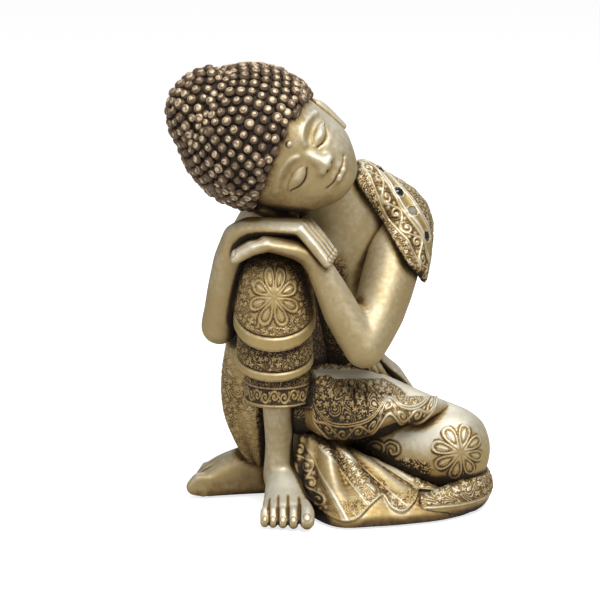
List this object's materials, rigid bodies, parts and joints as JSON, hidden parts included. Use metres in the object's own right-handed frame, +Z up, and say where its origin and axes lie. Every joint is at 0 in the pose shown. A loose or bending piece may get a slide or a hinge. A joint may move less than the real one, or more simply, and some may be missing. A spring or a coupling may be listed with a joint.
{
  "type": "buddha statue",
  "caption": "Seated figure in antique silver-gold resin, asleep with its head on folded hands over a raised knee, with curled hair and a patterned robe",
  "frame": {"origin": "on the table plane, at the rest point of the felt base under the figure", "axes": "+Z up, -Y towards the front of the figure, +X towards the figure's own left"},
  "size_m": [0.1521, 0.1204, 0.2122],
  "materials": {
    "skin": "cast resin with antique silver-gold paint, dry-brushed highlights",
    "robe": "cast resin relief with antique silver-gold paint over a dark brown wash",
    "hair": "cast resin curls in dark bronze with gold dry-brushed tips",
    "stone": "dark polished glass",
    "dowel": "plain hardwood dowel",
    "felt": "thin felt sheet"
  },
  "bodies": {
    "root": {"head": "skin", "hair_cap": "hair", "hair_curls": "hair", "brow_bead": "skin", "torso": "skin", "left_arm": "skin", "right_arm": "skin", "right_leg": "skin", "left_foot": "skin", "seat": "robe", "back_robe": "robe", "shoulder_robe": "robe", "shoulder_stones": "stone", "thigh_robe": "robe", "knee_robe": "robe", "knee_band": "robe", "knee_hem": "robe", "side_fall": "robe", "left_knee_robe": "robe", "lap_robe": "robe", "lap_sash": "robe", "hem_skirt": "robe", "hem_roll": "robe", "neck_dowel": "dowel", "waist_dowel": "dowel", "left_shoulder_dowel": "dowel", "right_shoulder_dowel": "dowel", "knee_dowel": "dowel", "left_thigh_dowel": "dowel", "shin_dowel": "dowel", "foot_dowel": "dowel", "felt_base": "felt"}
  },
  "joints": []
}
